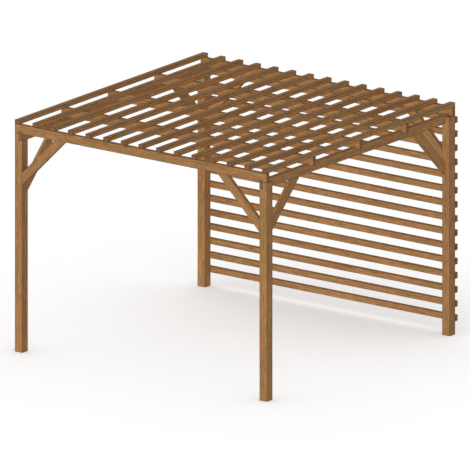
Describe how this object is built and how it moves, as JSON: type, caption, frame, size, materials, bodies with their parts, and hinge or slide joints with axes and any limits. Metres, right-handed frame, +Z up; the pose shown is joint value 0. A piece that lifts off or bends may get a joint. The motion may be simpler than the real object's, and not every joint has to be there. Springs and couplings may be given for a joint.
{
  "type": "wooden pergola",
  "caption": "Free-standing square wooden pergola: posts with knee braces, notched beams, a flat roof of spaced slats and one slatted back wall.",
  "frame": {"origin": "on the ground, at the centre of the whole plan with the back wall's slats", "axes": "+X to the right seen from the open front, +Y from the front to the slatted back wall, +Z up"},
  "size_m": [3, 3.04, 2.295],
  "materials": {
    "post_timber": "brown stained planed softwood, matt",
    "beam_timber": "brown stained planed softwood, matt",
    "slat_timber": "brown stained planed softwood, matt"
  },
  "bodies": {
    "root": {"post_front_left": "post_timber", "post_front_right": "post_timber", "post_back_left": "post_timber", "post_back_right": "post_timber", "side_beam_left": "beam_timber", "side_beam_right": "beam_timber", "front_beam": "beam_timber", "back_beam": "beam_timber", "middle_beam_1": "beam_timber", "middle_beam_2": "beam_timber", "middle_beam_3": "beam_timber", "brace_front_left_cross": "beam_timber", "brace_front_left_side": "beam_timber", "brace_front_right_cross": "beam_timber", "brace_front_right_side": "beam_timber", "brace_back_left_cross": "beam_timber", "brace_back_left_side": "beam_timber", "brace_back_right_cross": "beam_timber", "brace_back_right_side": "beam_timber", "roof_slat_1": "slat_timber", "roof_slat_2": "slat_timber", "roof_slat_3": "slat_timber", "roof_slat_4": "slat_timber", "roof_slat_5": "slat_timber", "roof_slat_6": "slat_timber", "roof_slat_7": "slat_timber", "roof_slat_8": "slat_timber", "roof_slat_9": "slat_timber", "roof_slat_10": "slat_timber", "roof_slat_11": "slat_timber", "roof_slat_12": "slat_timber", "roof_slat_13": "slat_timber", "roof_slat_14": "slat_timber", "roof_slat_15": "slat_timber", "back_wall_slats": "slat_timber"}
  },
  "joints": []
}
